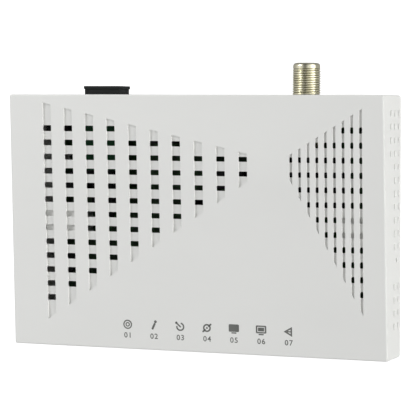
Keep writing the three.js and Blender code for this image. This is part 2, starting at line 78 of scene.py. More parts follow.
CASE_BOTTOM = tray_low.z
COVER_FOOT = cover_low.z
ROOF_REAR_Z = cover_high.z
ROOF_FRONT_Z = ROOF_REAR_Z - FRONT_DROP
FOOT_DRAFT = DRAFT * (COVER_FOOT - CASE_BOTTOM)
REAR_DRAFT = DRAFT * (ROOF_REAR_Z - CASE_BOTTOM)
HALF_WIDTH = cover_high.x + FOOT_DRAFT - FRONT_FLARE
HALF_DEPTH = (cover_high.y - cover_low.y + REAR_DRAFT + FOOT_DRAFT) / 2
CASE_Y = cover_high.y + REAR_DRAFT - HALF_DEPTH   # where the case's own y = 0 lies in the row frame
ROOF_REAR_Y = HALF_DEPTH - REAR_DRAFT
ROOF_FRONT_Y = DRAFT * (ROOF_FRONT_Z - CASE_BOTTOM) - HALF_DEPTH
SLOPE = math.atan2(ROOF_REAR_Z - ROOF_FRONT_Z, ROOF_REAR_Y - ROOF_FRONT_Y)
FLOOR_TOP = CASE_BOTTOM + WALL


def side_x(y, z):
    """How far out a side wall stands, at a height and a distance along the case."""
    return HALF_WIDTH - DRAFT * (z - CASE_BOTTOM) + FRONT_FLARE * (0.5 - y / (2 * HALF_DEPTH))


ROOF_REAR_X = side_x(ROOF_REAR_Y, ROOF_REAR_Z)
ROOF_FRONT_X = side_x(ROOF_FRONT_Y, ROOF_FRONT_Z)

PANEL_OUTER_Y = box_mm("rear_panel")[1].y - CASE_Y
PANEL_INNER_Y = box_mm("rear_panel")[0].y - CASE_Y
CAVITY_REAR_Y = PANEL_OUTER_Y + GAP

VENT_FIRST_ROW, VENT_ROW_PITCH = 11.9, 5.0
SLOT_SPREAD = 0.75                                # a vent slot is this much wider on each side underneath
LEFT_VENTS = {
    "first_x": -53.3, "pitch": 8.0, "groove": 2.95, "slot": (3.06, 1.56), "side": -1,
    "rows": [(0, 12), (0, 11), (0, 10), (0, 9), (1, 8), (1, 7), (1, 6), (2, 5), (2, 4), (2, 3)],
}
RIGHT_VENTS = {
    "first_x": 35.6, "pitch": 3.0, "groove": 0.9, "slot": (1.08, 1.64), "side": 1,
    "rows": [(2, 3), (2, 4), (2, 5), (1, 6), (1, 7), (1, 8), (0, 9), (0, 10), (0, 11)],
}
SIDE_FIRST, SIDE_PITCH, SIDE_ROWS, SIDE_SKIPPED = 6.7, 4.5, 17, (11, 12)
SIDE_LEVELS, SIDE_TOP_LEVEL_ROWS = (4.0, 9.2, 14.4), 4
SIDE_WIDTH, SIDE_HEIGHT = 1.9, 1.7
SIDE_EDGE = 0.25                                  # the soft edge of a side slot
LONE_HOLE_ROW, LONE_HOLE_LEVEL, LONE_HOLE_RADIUS = 11, 6.4, 0.8

PILLARS = [(-49.3, 12.0), (56.6, 9.0)]            # x, width
PILLAR_Y, PILLAR_DEPTH, PILLAR_BORE = 0.4, 9.0, 1.9

COAX_LOW, COAX_HIGH = box_mm("coax_connector_body")
COAX_RADIUS, COAX_BORE = 4.75, 2.9
COAX_X, COAX_Z = 38.1, 14.1
COAX_TIP = COAX_HIGH.y - CASE_Y
THREAD_PITCH, THREAD_DEPTH = 25.4 / 32, 0.38
NOSE_LENGTH, NOSE_STEP, NOSE_ROUND = 2.0, 0.15, 1.15
NOSE_LAND = 0.45                                  # this share of the nose is straight, the rest is round

EDGE = 0.6                                        # the shell's rounded outer edges
SOFT_EDGE = 0.14                                  # the broken edge of a moulded opening
PORT_EDGE = 0.25                                  # the broken edge of a port or a floor opening
LARGE_FACET = 60e-6                               # square metres; folds between larger faces stay crisp


# ------------------------------------------------------------------ mesh helpers
def mesh_object(name, bm):
    """Turns a bmesh in case millimetres into an object, still in case millimetres."""
    bmesh.ops.recalc_face_normals(bm, faces=bm.faces)
    mesh = bpy.data.meshes.new(name)
    bm.to_mesh(mesh)
    bm.free()
    obj = bpy.data.objects.new(name, mesh)
    bpy.context.scene.collection.objects.link(obj)
    return obj


def hull(points):
    bm = bmesh.new()
    verts = [bm.verts.new(p) for p in points]
    bmesh.ops.convex_hull(bm, input=verts)
    bmesh.ops.dissolve_limit(bm, angle_limit=math.radians(0.05), verts=bm.verts, edges=bm.edges)
    return bm


def loft(rings):
    """A closed solid through rings that each hold the same number of points, with flat end caps."""
    bm = bmesh.new()
    loops = [[bm.verts.new(p) for p in ring] for ring in rings]
    count = len(loops[0])
    for lower, upper in zip(loops, loops[1:]):
        for i in range(count):
            j = (i + 1) % count
            bm.faces.new((lower[i], lower[j], upper[j], upper[i]))
    bm.faces.new(list(reversed(loops[0])))
    bm.faces.new(loops[-1])
    return bm


def merge(target, addition):
    """Copies another bmesh into target and frees it."""
    scratch = bpy.data.meshes.new("scratch")
    addition.to_mesh(scratch)
    addition.free()
    target.from_mesh(scratch)
    bpy.data.meshes.remove(scratch)


def rounded_rect(width, height, radius, steps=4):
    """Outline points of a rectangle about the origin, counter-clockwise, with round corners."""
    radius = min(radius, width / 2 - 1e-3, height / 2 - 1e-3)
    outline = []
    for quarter, (sx, sy) in enumerate([(1, 1), (-1, 1), (-1, -1), (1, -1)]):
        cx, cy = sx * (width / 2 - radius), sy * (height / 2 - radius)
        for i in range(steps + 1):
            angle = math.radians(90) * (quarter + i / steps)
            outline.append((cx + radius * math.cos(angle), cy + radius * math.sin(angle)))
    return outline


def circle(radius, steps=48):
    return [(radius * math.cos(2 * math.pi * i / steps), radius * math.sin(2 * math.pi * i / steps))
            for i in range(steps)]


def grown(outline, amount):
    """A convex outline moved outwards by amount, with mitred corners."""
    count = len(outline)
    area = sum(outline[i - 1][0] * outline[i][1] - outline[i][0] * outline[i - 1][1] for i in range(count))
    turn = 1 if area > 0 else -1
    moved = []
    for i in range(count):
        here = Vector(outline[i])
        back = (here - Vector(outline[i - 1])).normalized()
        ahead = (Vector(outline[(i + 1) % count]) - here).normalized()
        normals = [Vector((d.y, -d.x)) * turn for d in (back, ahead)]
        bisector = (normals[0] + normals[1]).normalized()
        moved.append(tuple(here + bisector * (amount / max(0.3, bisector.dot(normals[0])))))
    return moved


def column(outline, levels, place):
    """A solid from (distance, growth) levels of one outline; place maps (u, v, distance) to a point."""
    return loft([[place(u, v, d) for u, v in (grown(outline, growth) if growth else outline)]
                 for d, growth in levels])


def upright(x, y):
    return lambda u, v, d: (x + u, y + v, d)


def rearward(x, z):
    return lambda u, v, d: (x - u, d, z + v)


def pocket(low, high, flare):
    """Levels of a cutter that enters at high and breaks the edge there by flare."""
    return [(low, 0), (high - flare, 0), (high, flare), (high + 2 * flare, 3 * flare)]


def lathe(profile, place, steps=48):
    """A turned solid. The profile lists (radius, distance) from end to end; both ends may be open rims."""
    return loft([[place(u, v, d) for u, v in circle(r, steps)] for r, d in profile])


def combine(obj, cutters, operation="DIFFERENCE"):
    """Cuts or joins with one exact boolean, and keeps its result in the object."""
    bm = bmesh.new()
    for cutter in cutters:
        merge(bm, cutter)
    tool = mesh_object("tool", bm)
    modifier = obj.modifiers.new("cut", "BOOLEAN")
    modifier.solver = "EXACT"
    modifier.use_self = operation == "UNION"
    modifier.operation = operation
    modifier.object = tool
    depsgraph = bpy.context.evaluated_depsgraph_get()
    result = bpy.data.meshes.new_from_object(obj.evaluated_get(depsgraph))
    obj.modifiers.clear()
    obj.data = result
    bpy.data.objects.remove(tool)


def bevelled(bm, width, segments=2, angle=30, pick=None):
    edges = [e for e in bm.edges if len(e.link_faces) == 2 and e.calc_face_angle() > math.radians(angle)
             and (pick is None or pick(e))]
    bmesh.ops.bevel(bm, geom=edges, offset=width, segments=segments, profile=0.5, affect="EDGES",
                    clamp_overlap=True)
    return bm


def block(x0, x1, y0, y1, z0, z1, edge=0.0, segments=2):
    corners = [(x, y, z) for x in (x0, x1) for y in (y0, y1) for z in (z0, z1)]
    bm = hull(corners)
    return bevelled(bm, edge, segments) if edge else bm


CASE_TO_ROW = Matrix.Translation((0, CASE_Y * MM, 0)) @ Matrix.Scale(MM, 4)


def place_piece(obj, body, material, nodes=(), sharp=32, flat_from=None):
    """Moves a finished mesh to the row frame, smooths it, attaches it to its body and hides the CAD nodes it
    stands for.
    """
    obj.data.transform(CASE_TO_ROW)
    obj.data.materials.clear()
    obj.data.materials.append(material)
    obj.data.polygons.foreach_set("material_index", [0] * len(obj.data.polygons))
    obj.data.shade_smooth()
    obj.data.set_sharp_from_angle(angle=math.radians(sharp))
    if flat_from is not None:
        keep_facets_flat(obj.data, flat_from)
    weighted = obj.modifiers.new("weighted", "WEIGHTED_NORMAL")
    weighted.keep_sharp = True
    weighted.weight = 80
    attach(obj, body)
    if nodes:
        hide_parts(*nodes)
    return obj


def keep_facets_flat(mesh, least_area):
    """Marks the edge between two large facets sharp, however slight the fold between them."""
    bm = bmesh.new()
    bm.from_mesh(mesh)
    for edge in bm.edges:
        if len(edge.link_faces) == 2 and edge.calc_face_angle() > math.radians(0.3):
            if all(face.calc_area() > least_area for face in edge.link_faces):
                edge.smooth = False
    bm.to_mesh(mesh)
    bm.free()


# ------------------------------------------------------------------ roof geometry
ROOF = Matrix.Translation((0, ROOF_REAR_Y, ROOF_REAR_Z)) @ Matrix.Rotation(SLOPE, 4, "X")


def roof_point(x, back, out):
    return ROOF @ Vector((x, -back, out))


APEX = roof_point(APEX_X, APEX_BACK, APEX_RISE)
ROOF_CORNERS = {
    (-1, -1): Vector((-ROOF_FRONT_X, ROOF_FRONT_Y, ROOF_FRONT_Z)),
    (1, -1): Vector((ROOF_FRONT_X, ROOF_FRONT_Y, ROOF_FRONT_Z)),
    (1, 1): Vector((ROOF_REAR_X, ROOF_REAR_Y, ROOF_REAR_Z)),
    (-1, 1): Vector((-ROOF_REAR_X, ROOF_REAR_Y, ROOF_REAR_Z)),
}


def facet_height(first, second):
    """Height of the roof facet between two corners and the apex, as a function of x and y."""
    a, b = ROOF_CORNERS[first], ROOF_CORNERS[second]
    normal = (b - a).cross(APEX - a)
    return lambda x, y: a.z - (normal.x * (x - a.x) + normal.y * (y - a.y)) / normal.z


def crease_y(side, end, x):
    """Where the crease from the apex to a corner passes over x."""
    corner = ROOF_CORNERS[(side, end)]
    share = (x - APEX.x) / (corner.x - APEX.x)
    return APEX.y + share * (corner.y - APEX.y)


def case_block(bottom, inset=0.0, drop=0.0, rear_y=None):
    """The case as a solid block: inset shrinks it inside the walls, drop lowers the roof."""
    foot_y = DRAFT * (bottom - CASE_BOTTOM) - HALF_DEPTH
    rear = ROOF_REAR_Y - inset if rear_y is None else rear_y
    profile = [
        (foot_y, foot_y + inset, bottom, bottom), (ROOF_REAR_Y, rear, bottom, bottom),
        (ROOF_FRONT_Y, ROOF_FRONT_Y + inset, ROOF_FRONT_Z, ROOF_FRONT_Z - drop),
        (ROOF_REAR_Y, rear, ROOF_REAR_Z, ROOF_REAR_Z - drop)]
    corners = [(side * (side_x(wall_y, wall_z) - inset), y, z) for wall_y, y, wall_z, z in profile
               for side in (-1, 1)]
    return hull([*corners, roof_point(APEX_X, APEX_BACK, APEX_RISE - drop)])


# ------------------------------------------------------------------ materials
def node_material(name):
    material = bpy.data.materials.new(name)
    material.use_nodes = True
    tree = material.node_tree
    shader = tree.nodes["Principled BSDF"]
    return material, tree, shader


def add_node(tree, kind, inputs=None, **settings):
    node = tree.nodes.new(kind)
    for key, value in settings.items():
        setattr(node, key, value)
    for key, value in (inputs or {}).items():
        if isinstance(value, bpy.types.NodeSocket):
            tree.links.new(value, node.inputs[key])
        else:
            node.inputs[key].default_value = value
    return node


def noise_field(tree, scale, detail=3.0, stretch=(1, 1, 1), rough=0.55):
    """Noise over the object's own coordinates; scale counts features per metre."""
    position = add_node(tree, "ShaderNodeTexCoord").outputs["Object"]
    mapping = add_node(tree, "ShaderNodeMapping", {"Vector": position, "Scale": stretch})
    noise = add_node(tree, "ShaderNodeTexNoise",
                     {"Vector": mapping.outputs["Vector"], "Scale": scale, "Detail": detail,
                      "Roughness": rough})
    return noise.outputs["Fac"]


def ramp(tree, source, stops):
    node = add_node(tree, "ShaderNodeValToRGB", {"Fac": source})
    elements = node.color_ramp.elements
    while len(elements) < len(stops):
        elements.new(0.5)
    for element, (position, color) in zip(elements, stops):
        element.position = position
        element.color = (*color, 1)
    return node.outputs["Color"]


def span(tree, source, low, high):
    node = add_node(tree, "ShaderNodeMapRange",
                    {"Value": source, "From Min": 0.3, "From Max": 0.7, "To Min": low, "To Max": high})
    return node.outputs[0]


def tinted(color, factor):
    return tuple(min(1.0, c * factor) for c in color)


def surface(name, color, roughness, grain=9000, bump=0.004, variation=0.03, metallic=0.0, specular=0.5,
            stretch=(1, 1, 1), bump_distance=0.00002):
    """A plain finish with real detail: slow colour drift, uneven gloss and a fine moulded or rolled grain."""
    material, tree, shader = node_material(name)
    slow = noise_field(tree, 55, 2)
    fine = noise_field(tree, grain, 2, stretch)
    low, high = tinted(color, 1 - variation), tinted(color, 1 + variation)
    tree.links.new(ramp(tree, slow, [(0.35, low), (0.65, high)]), shader.inputs["Base Color"])
    tree.links.new(span(tree, noise_field(tree, grain / 12, 3, stretch), roughness - 0.05, roughness + 0.05),
                   shader.inputs["Roughness"])
    relief = add_node(tree, "ShaderNodeBump",
                      {"Height": fine, "Strength": bump, "Distance": bump_distance})
    tree.links.new(relief.outputs["Normal"], shader.inputs["Normal"])
    shader.inputs["Metallic"].default_value = metallic
    shader.inputs["Specular IOR Level"].default_value = specular
    return material


def shell_material(name, color):
    """Moulded white ABS with a fine spark-eroded texture and very faint flow marks."""
    material, tree, shader = node_material(name)
    flow = noise_field(tree, 18, 4, (1, 2.5, 1))
    low, high = tinted(color, 0.988), tinted(color, 1.012)
    tree.links.new(ramp(tree, flow, [(0.3, low), (0.7, high)]), shader.inputs["Base Color"])
    texture = noise_field(tree, 4200, 2)
    relief = add_node(tree, "ShaderNodeBump", {"Height": texture, "Strength": 0.22, "Distance": 0.00002})
    tree.links.new(relief.outputs["Normal"], shader.inputs["Normal"])
    tree.links.new(span(tree, noise_field(tree, 700, 3), 0.40, 0.50), shader.inputs["Roughness"])
    shader.inputs["Specular IOR Level"].default_value = 0.35
    return material


def nickel_material():
    """Bright, warm nickel plate on turned brass, with painted shade darkening the thread roots, and fine
    turning marks.
    """
    material, tree, shader = node_material("nickel_plate")
    stain = noise_field(tree, 420, 4)
    plate = ramp(tree, stain, [(0.3, (0.78, 0.74, 0.54)), (0.7, (0.90, 0.87, 0.70))])
    position = add_node(tree, "ShaderNodeTexCoord").outputs["Object"]
    spoke = add_node(tree, "ShaderNodeMapping", {"Vector": position, "Scale": (1, 0, 1),
                                                 "Location": (-COAX_X * MM, 0, -COAX_Z * MM)})
    radius = add_node(tree, "ShaderNodeVectorMath", {0: spoke.outputs["Vector"]}, operation="LENGTH")
    # painted shade: the base colour falls to 0.6 of itself from the thread's outer radius down to its roots
    thread_root_shade = add_node(tree, "ShaderNodeMapRange",
                     {"Value": radius.outputs["Value"], "From Min": (COAX_RADIUS - THREAD_DEPTH) * MM,
                      "From Max": (COAX_RADIUS - 0.1) * MM, "To Min": 0.6})
    shade = add_node(tree, "ShaderNodeMix", data_type="RGBA", blend_type="MULTIPLY")
    shade.inputs[0].default_value = 1
    tree.links.new(plate, shade.inputs[6])
    tree.links.new(thread_root_shade.outputs[0], shade.inputs[7])
    tree.links.new(shade.outputs[2], shader.inputs["Base Color"])
    turning = noise_field(tree, 900, 2, (1, 14, 1))
    relief = add_node(tree, "ShaderNodeBump", {"Height": turning, "Strength": 0.12, "Distance": 0.00003})
    tree.links.new(relief.outputs["Normal"], shader.inputs["Normal"])
    tree.links.new(span(tree, noise_field(tree, 1500, 3), 0.18, 0.28), shader.inputs["Roughness"])
    shader.inputs["Metallic"].default_value = 1.0
    return material


def board_material():
    """Green solder mask over routed copper, which shows as slightly lighter, raised tracks."""
    material, tree, shader = node_material("solder_mask")
    position = add_node(tree, "ShaderNodeTexCoord").outputs["Object"]
    cells = add_node(tree, "ShaderNodeTexVoronoi", {"Vector": position, "Scale": 260.0},
                     feature="DISTANCE_TO_EDGE", distance="CHEBYCHEV")
    tracks = ramp(tree, cells.outputs["Distance"], [(0.06, (1, 1, 1)), (0.10, (0, 0, 0))])
    mask = ramp(tree, noise_field(tree, 90, 2), [(0.3, (0.011, 0.040, 0.010)), (0.7, (0.015, 0.055, 0.013))])
    mixed = add_node(tree, "ShaderNodeMix", data_type="RGBA")
    tree.links.new(tracks, mixed.inputs[0])
    tree.links.new(mask, mixed.inputs[6])
    mixed.inputs[7].default_value = (0.024, 0.088, 0.022, 1)
    tree.links.new(mixed.outputs[2], shader.inputs["Base Color"])
    relief = add_node(tree, "ShaderNodeBump", {"Height": tracks, "Strength": 0.5, "Distance": 0.00004})
    tree.links.new(relief.outputs["Normal"], shader.inputs["Normal"])
    tree.links.new(span(tree, noise_field(tree, 600, 3), 0.28, 0.42), shader.inputs["Roughness"])
    return material


def acrylic_material():
    material, tree, shader = node_material("clear_acrylic")
    tint = noise_field(tree, 300, 2)
    tree.links.new(ramp(tree, tint, [(0.3, (0.80, 0.86, 0.87)), (0.7, (0.90, 0.94, 0.95))]),
                   shader.inputs["Base Color"])
    tree.links.new(span(tree, noise_field(tree, 900, 3), 0.06, 0.16), shader.inputs["Roughness"])
    shader.inputs["Transmission Weight"].default_value = 0.6
    shader.inputs["IOR"].default_value = 1.49
    return material


MATERIALS = {
    "white_shell": shell_material("white_abs", (0.800, 0.803, 0.785)),
    "panel_plastic": shell_material("panel_abs", (0.77, 0.775, 0.755)),
    "grey_rubber": surface("grey_rubber", (0.23, 0.235, 0.235), 0.72, 2600, 0.4, 0.06, specular=0.3),
    "black_rubber": surface("black_rubber", (0.0095, 0.0115, 0.0110), 0.62, 3800, 0.3, 0.12, specular=0.25),
    "black_plastic": surface("black_plastic", (0.012, 0.012, 0.013), 0.42, 5200, 0.22, 0.1),
    "sheet_steel": surface("sheet_steel", (0.62, 0.62, 0.61), 0.30, 1400, 0.16, 0.05, 1.0, stretch=(1, 9, 1)),
    "nickel": nickel_material(),
    "gold": surface("gold_plate", (0.95, 0.68, 0.30), 0.22, 3000, 0.1, 0.06, 1.0),
    "board_laminate": board_material(),
    # painted shade: the heat sink, optical module, shield can and capacitors wear this near-black finish to
    # stand in for the deep shade inside the case
    "blackened_metal": surface("blackened_metal", (0.018, 0.019, 0.020), 0.55, 2000, 0.25, 0.10,
                               specular=0.3),
    "clear_acrylic": acrylic_material(),
    "green_plastic": surface("green_plastic", (0.022, 0.13, 0.050), 0.45, 5000, 0.2, 0.05),
    "ceramic": surface("ceramic", (0.84, 0.80, 0.70), 0.24, 6000, 0.1, 0.02),
    "led_lens": surface("led_lens", (0.86, 0.80, 0.48), 0.25, 4000, 0.1, 0.04),
}
INK = surface("sign_ink", (0.145, 0.150, 0.140), 0.55, 7000, 0.3, 0.14, specular=0.3)


# ------------------------------------------------------------------ top cover
def groove_cutters():
    """A shallow channel along each vent column, from crease to crease, with softened long edges."""
    cutters = []
    for array in (LEFT_VENTS, RIGHT_VENTS):
        side = array["side"]
        height = facet_height((side, -1), (side, 1))
        for number in range(len(array["rows"])):
            x = array["first_x"] + number * array["pitch"]
            half = array["groove"] / 2
            flare = min(SOFT_EDGE, half / 4)
            rings = []
            for d, out in ((-GROOVE_DEPTH, half), (-flare, half), (0, half + flare), (3, half + flare)):
                outline = [(u, crease_y(side, end, u) + (FRONT_MARGIN if end < 0 else 0)) for u, end in
                           ((x - out, -1), (x + out, -1), (x + out, 1), (x - out, 1))]
                rings.append([(u, v, height(u, v) + d) for u, v in outline])
            cutters.append(loft(rings))
    return cutters


def slot_cutters():
    """The vent slots, square to the roof's slope, with rounded corners; they open out towards the inside."""
    levels = [(-6, SLOT_SPREAD), (-WALL - 0.1, SLOT_SPREAD), (0, 0), (6, 0)]
    cutters = []
    for array in (LEFT_VENTS, RIGHT_VENTS):
        outline = rounded_rect(*array["slot"], 0.15, 2)
        for number, (first, last) in enumerate(array["rows"]):
            x = array["first_x"] + number * array["pitch"]
            for row in range(first, last + 1):
                back = VENT_FIRST_ROW + row * VENT_ROW_PITCH
                cutters.append(column(outline, levels, lambda u, v, d: roof_point(x + u, back + v, d)))
    return cutters


def side_y(row):
    return HALF_DEPTH - SIDE_FIRST - row * SIDE_PITCH


def side_slot_cutters():
    """Rows of upright slots through both side walls, and the lone round hole on the right."""
    cutters = []
    outline = rounded_rect(SIDE_WIDTH, SIDE_HEIGHT, 0.3, 3)
    for row in range(SIDE_ROWS):
        if row in SIDE_SKIPPED:
            continue
        for index, level in enumerate(SIDE_LEVELS):
            if index == len(SIDE_LEVELS) - 1 and row >= SIDE_TOP_LEVEL_ROWS:
                continue
            face = side_x(side_y(row), CASE_BOTTOM + level)
            for side in (-1, 1):
                cutters.append(column(
                    outline, pocket(face - WALL - 2, face, SIDE_EDGE),
                    lambda u, v, d: (side * d, side_y(row) + u, CASE_BOTTOM + level + v)))
    face = side_x(side_y(LONE_HOLE_ROW), CASE_BOTTOM + LONE_HOLE_LEVEL)
    cutters.append(column(circle(LONE_HOLE_RADIUS, 24), pocket(face - WALL - 1, face, SOFT_EDGE),
                          lambda u, v, d: (d, side_y(LONE_HOLE_ROW) + u, CASE_BOTTOM + LONE_HOLE_LEVEL + v)))
    return cutters


PORT_WINDOW_RIM = 3.4                             # from the case's outline to the opening round the panel
RIB_THICKNESS = 1.5                               # the ribs that hold the rear panel


def top_cover():
    outer = case_block(COVER_FOOT)
    bevelled(outer, EDGE, 4, 30, lambda e: max(v.co.z for v in e.verts) > COVER_FOOT + 1)
    bevelled(outer, 0.25, 2, 60, lambda e: max(v.co.z for v in e.verts) < COVER_FOOT + 0.01)
    cover = mesh_object("shell_top_cover", outer)
    combine(cover, [case_block(COVER_FOOT - 1, WALL, WALL, CAVITY_REAR_Y)])

    window = rounded_rect(2 * (ROOF_REAR_X - PORT_WINDOW_RIM), 2 * (ROOF_REAR_Z - PORT_WINDOW_RIM), 1.2)
    combine(cover, [column(window, pocket(CAVITY_REAR_Y - 0.5, HALF_DEPTH, 0.3), rearward(0, 0))])
    combine(cover, groove_cutters())
    combine(cover, slot_cutters())
    combine(cover, side_slot_cutters())

    under_roof = WALL - 0.2
    posts = mesh_object("posts", block(-1, 1, -1, 1, -9, -8))
    combine(posts, [block(x - width / 2, x + width / 2, PILLAR_Y - PILLAR_DEPTH / 2,
                          PILLAR_Y + PILLAR_DEPTH / 2, FLOOR_TOP + GAP, ROOF_FRONT_Z + 6, 0.4)
                    for x, width in PILLARS], "UNION")
    combine(posts, [case_block(0, 1, under_roof)], "INTERSECT")
    ribs = [block(*sorted((side * (ROOF_REAR_X - 4), side * (ROOF_REAR_X - 1))),
                  PANEL_INNER_Y - GAP - RIB_THICKNESS, PANEL_INNER_Y - GAP,
                  FLOOR_TOP + GAP, ROOF_REAR_Z - WALL - 0.5)
            for side in (-1, 1)]
    post_mesh = bmesh.new()
    post_mesh.from_mesh(posts.data)
    bpy.data.objects.remove(posts)
    combine(cover, [post_mesh, *ribs], "UNION")
    combine(cover, [column(circle(PILLAR_BORE, 32), [(0, 0), (15, 0)], upright(x, PILLAR_Y))
                    for x, _ in PILLARS])
    return place_piece(cover, "terminal", MATERIALS["white_shell"], ["top_cover"],
                       flat_from=LARGE_FACET)


# ------------------------------------------------------------------ coaxial connector
def coax_radius(y, angle):
    """Outer radius of the threaded barrel at a distance along it and an angle round it."""
    start, stop = PANEL_OUTER_Y + 0.6, COAX_TIP - NOSE_LENGTH
    root = COAX_RADIUS - THREAD_DEPTH
    if y >= stop:
        bend = max(0.0, ((y - stop) / NOSE_LENGTH - NOSE_LAND) / (1 - NOSE_LAND))
        return COAX_RADIUS - NOSE_STEP - NOSE_ROUND * (1 - math.sqrt(1 - min(0.999, bend ** 2)))
    phase = ((y - start) / THREAD_PITCH - angle / (2 * math.pi)) % 1.0
    flank = min(1.0, max(0.0, 2.4 * (1 - abs(2 * phase - 1)) - 0.4))
    fade = min(1.0, max(0.0, (y - start) / 0.5), max(0.0, (stop - y) / 0.3))
    return root + THREAD_DEPTH * flank * fade


def coax_body():
    around, step = 72, THREAD_PITCH / 9
    start = PANEL_INNER_Y - GAP - 0.5
    count = int((COAX_TIP - start) / step)
    rings = []
    for i in range(count + 1):
        y = start + (COAX_TIP - start) * i / count
        ring = []
        for j in range(around):
            angle = 2 * math.pi * j / around
            radius = coax_radius(y, angle)
            ring.append((COAX_X - radius * math.cos(angle), y, COAX_Z + radius * math.sin(angle)))
        rings.append(ring)
    barrel = mesh_object("coax_body", loft(rings))
    base = block(COAX_LOW.x, COAX_HIGH.x, COAX_LOW.y - CASE_Y, PANEL_INNER_Y - GAP, COAX_LOW.z, COAX_HIGH.z,
                 0.3)
    combine(barrel, [base], "UNION")
    bore = column(circle(COAX_BORE, 48), [(30, 0), (COAX_TIP - 0.5, 0), (COAX_TIP, 0.4), (COAX_TIP + 1, 1.4)],
                  rearward(COAX_X, COAX_Z))
    combine(barrel, [bore])
    return place_piece(barrel, "terminal", MATERIALS["nickel"], ["coax_connector_body"], sharp=50)


# ------------------------------------------------------------------ dust cap
PLUG_WIDTH, PLUG_HEIGHT = 8.4, 6.8


def dust_cap():
    """Moulded rubber cap: a rounded grip with a lip, on a plug that fills the optical port."""
    low, high = box_mm("dust_cap")
    x, z = (low.x + high.x) / 2, (low.z + high.z) / 2
    width, height = high.x - low.x, high.z - low.z
    tip = high.y - CASE_Y
    face = PANEL_OUTER_Y + GAP
    place = rearward(x, z)
    outline = rounded_rect(width, height, 0.6, 5)
    levels = [(face, -0.50), (face + 0.3, -0.38), (tip - 1.1, -0.35), (tip - 0.95, 0.0), (tip - 0.12, 0.0),
              (tip, -0.12)]
    cap = mesh_object("rubber_dust_cap", column(outline, levels, place))
    start = low.y - CASE_Y
    plug = column(rounded_rect(PLUG_WIDTH, PLUG_HEIGHT, 0.5),
                  [(start, -0.3), (start + 0.4, 0), (face + 1, 0)], place)
    combine(cap, [plug], "UNION")
    return place_piece(cap, "dust_cap", MATERIALS["black_rubber"], ["dust_cap"])


# ------------------------------------------------------------------ base tray, feet and screws
FEET = [(x, y) for y in (36, -36) for x in (-58, 58)]
BOARD_SCREWS = [(-53.5, 22.5), (58.5, 31), (-53.5, -33), (58.5, -33)]
KEYHOLES_X, KEYHOLE_Y = (-30, 30), -4
KEYHOLE_ENTRY, KEYHOLE_SLOT, KEYHOLE_LENGTH = 9.0, 4.8, 9.0
FLOOR_VENT = {"x": 24, "first_y": -16, "pitch": 3.5, "rows": 7, "width": 30, "height": 1.6}
BOSS_RADIUS, BOSS_BORE = 3.2, 1.6
FOOT_RECESS_RADIUS, FOOT_RECESS_DEPTH = 5.3, 0.6
SCREW_SEAT_RADIUS, SCREW_SEAT_DEPTH = 3.2, 1.1
SCREW_PROUD = 0.2                                 # the head stands this far below the tray
COVER_SCREW = {"tip_z": 13.0, "head_radius": 2.8, "head_height": 1.0, "shank_radius": 1.5}
THROUGH = 10                                      # deep enough to pass through the tray


def floor_pocket(outline, depth, x, y, flare=PORT_EDGE):
    """A cutter that enters the tray's underside and breaks the edge there."""
    levels = [(CASE_BOTTOM - 3 * flare, 4 * flare), (CASE_BOTTOM, flare), (CASE_BOTTOM + flare, 0),
              (CASE_BOTTOM + depth, 0)]
    return column(outline, levels, upright(x, y))


def base_tray():
    flange_top = COVER_FOOT - GAP
    outline = case_block(CASE_BOTTOM, TRAY_INSET)
    bmesh.ops.bisect_plane(outline, geom=outline.verts[:] + outline.edges[:] + outline.faces[:],
                           plane_co=(0, 0, flange_top), plane_no=(0, 0, 1), clear_outer=True)
    bmesh.ops.holes_fill(outline, edges=outline.edges)
    bevelled(outline, 0.35, 3)
    tray = mesh_object("shell_base_tray", outline)
    half_x = HALF_WIDTH - WALL - GAP - 0.2
    half_y = HALF_DEPTH - WALL - GAP - 0.2
    raised = block(-half_x, half_x, -half_y, half_y, CASE_BOTTOM + 0.5, FLOOR_TOP, 0.2)
    boss = [(BOSS_RADIUS, FLOOR_TOP - 0.5), (BOSS_RADIUS, tray_high.z - 0.2),
            (BOSS_RADIUS - 0.2, tray_high.z)]
    bosses = [lathe(boss, upright(x, y)) for x, y in BOARD_SCREWS]
    combine(tray, [raised], "UNION")
    combine(tray, bosses, "UNION")
    tools = [block(-half_x - 1, half_x + 1, PANEL_INNER_Y - GAP, half_y + 1, FLOOR_TOP - 1, FLOOR_TOP + 1)]
    tools += [column(circle(BOSS_BORE, 32), [(CASE_BOTTOM + 1, 0), (THROUGH, 0)], upright(x, y))
              for x, y in BOARD_SCREWS]
    tools += [floor_pocket(circle(FOOT_RECESS_RADIUS, 64), FOOT_RECESS_DEPTH, x, y, 0.2) for x, y in FEET]
    combine(tray, tools)
    seats = [floor_pocket(circle(SCREW_SEAT_RADIUS, 48), SCREW_SEAT_DEPTH, x, PILLAR_Y) for x, _ in PILLARS]
    keyhole_entries = [floor_pocket(circle(KEYHOLE_ENTRY / 2, 48), THROUGH, x, KEYHOLE_Y) for x in KEYHOLES_X]
    vent = rounded_rect(FLOOR_VENT["width"], FLOOR_VENT["height"], 0.79, 6)
    vents = [floor_pocket(vent, THROUGH, side * FLOOR_VENT["x"],
                          FLOOR_VENT["first_y"] - row * FLOOR_VENT["pitch"], 0.2)
             for row in range(FLOOR_VENT["rows"]) for side in (-1, 1)]
    combine(tray, seats + keyhole_entries + vents)
    bores = [column(circle(PILLAR_BORE, 32), [(0, 0), (THROUGH, 0)], upright(x, PILLAR_Y))
             for x, _ in PILLARS]
    slot_end = KEYHOLE_SLOT / 2
    slot = rounded_rect(KEYHOLE_SLOT, KEYHOLE_LENGTH + slot_end, slot_end, 8)
    keyhole_slots = [floor_pocket(slot, THROUGH, x, KEYHOLE_Y + (KEYHOLE_LENGTH - slot_end) / 2)
                     for x in KEYHOLES_X]
    combine(tray, bores + keyhole_slots)
    return place_piece(tray, "terminal", MATERIALS["white_shell"], ["base_tray"],
                       flat_from=LARGE_FACET)


